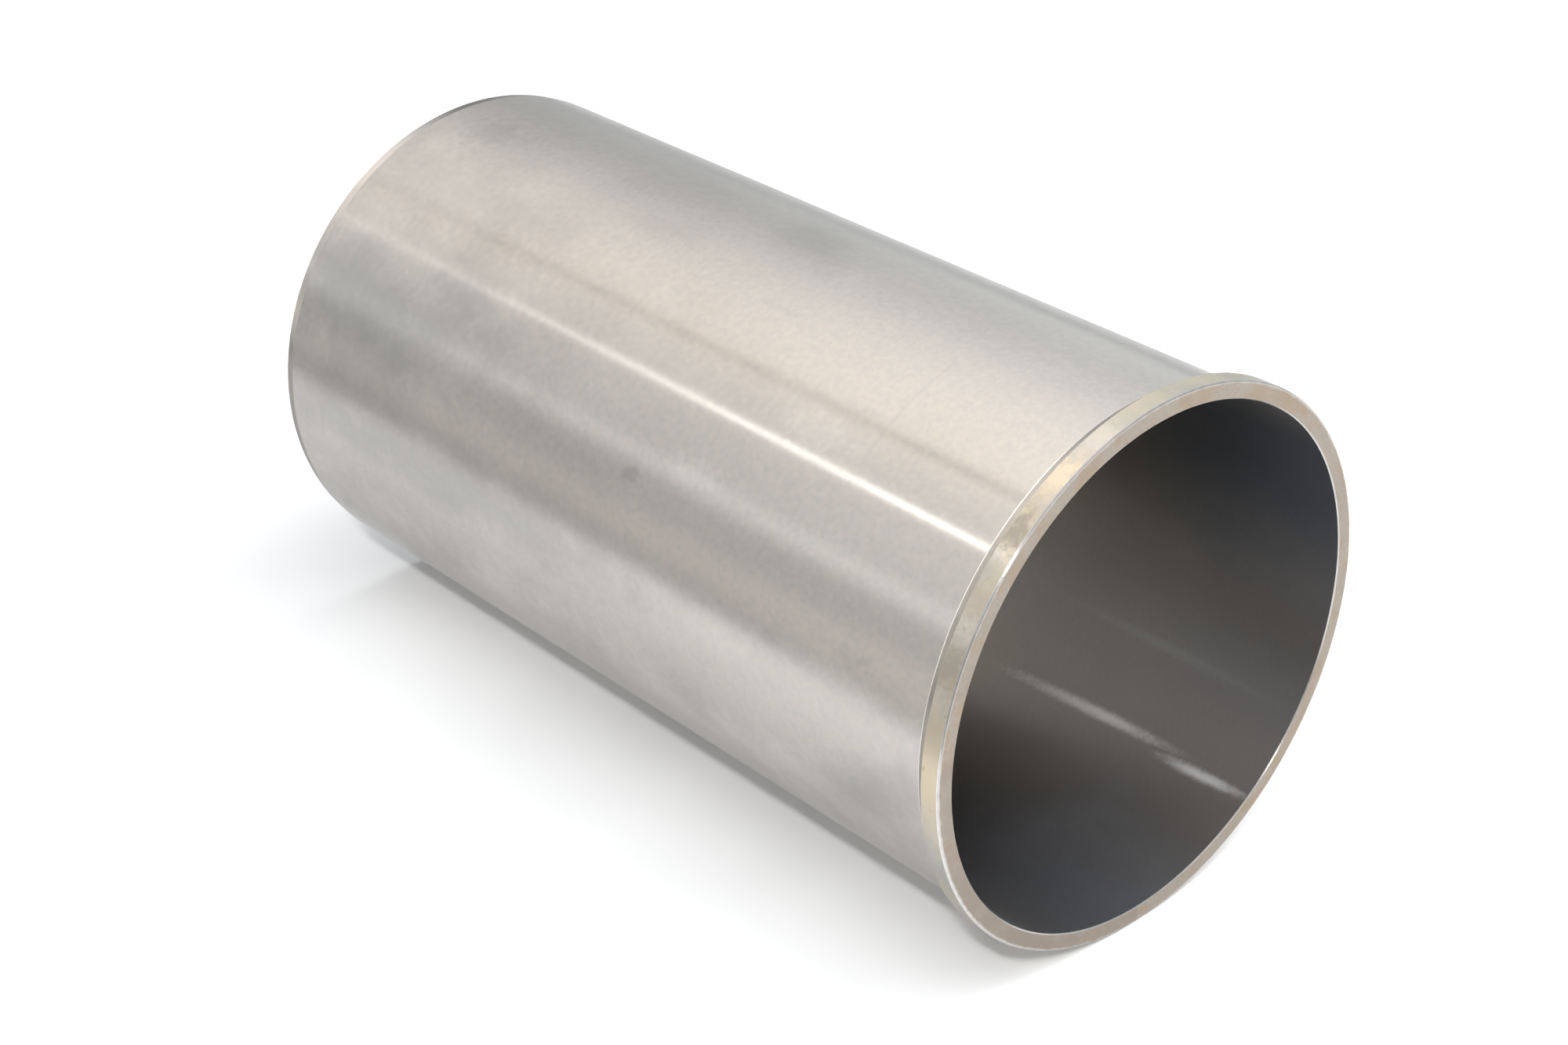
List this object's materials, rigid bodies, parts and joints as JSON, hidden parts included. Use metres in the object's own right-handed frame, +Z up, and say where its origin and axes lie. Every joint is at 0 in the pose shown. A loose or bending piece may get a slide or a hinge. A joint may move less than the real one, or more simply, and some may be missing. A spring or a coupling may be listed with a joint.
{
  "type": "cylinder liner",
  "caption": "Thin-walled flanged dry cylinder liner: a long ground sleeve with a honed bore and a collar on a conical seat at the top end.",
  "frame": {"origin": "centre of the skirt end, which the liner stands on", "axes": "+Z up the bore axis from the skirt end to the collar; X and Y are any two directions across it, since the liner is round"},
  "size_m": [0.0994, 0.0994, 0.1785],
  "materials": {
    "ground_steel": "fine ground outside, honed bore, faced and faintly straw-tinted collar"
  },
  "bodies": {
    "root": {"cylinder_liner": "ground_steel"}
  },
  "joints": []
}
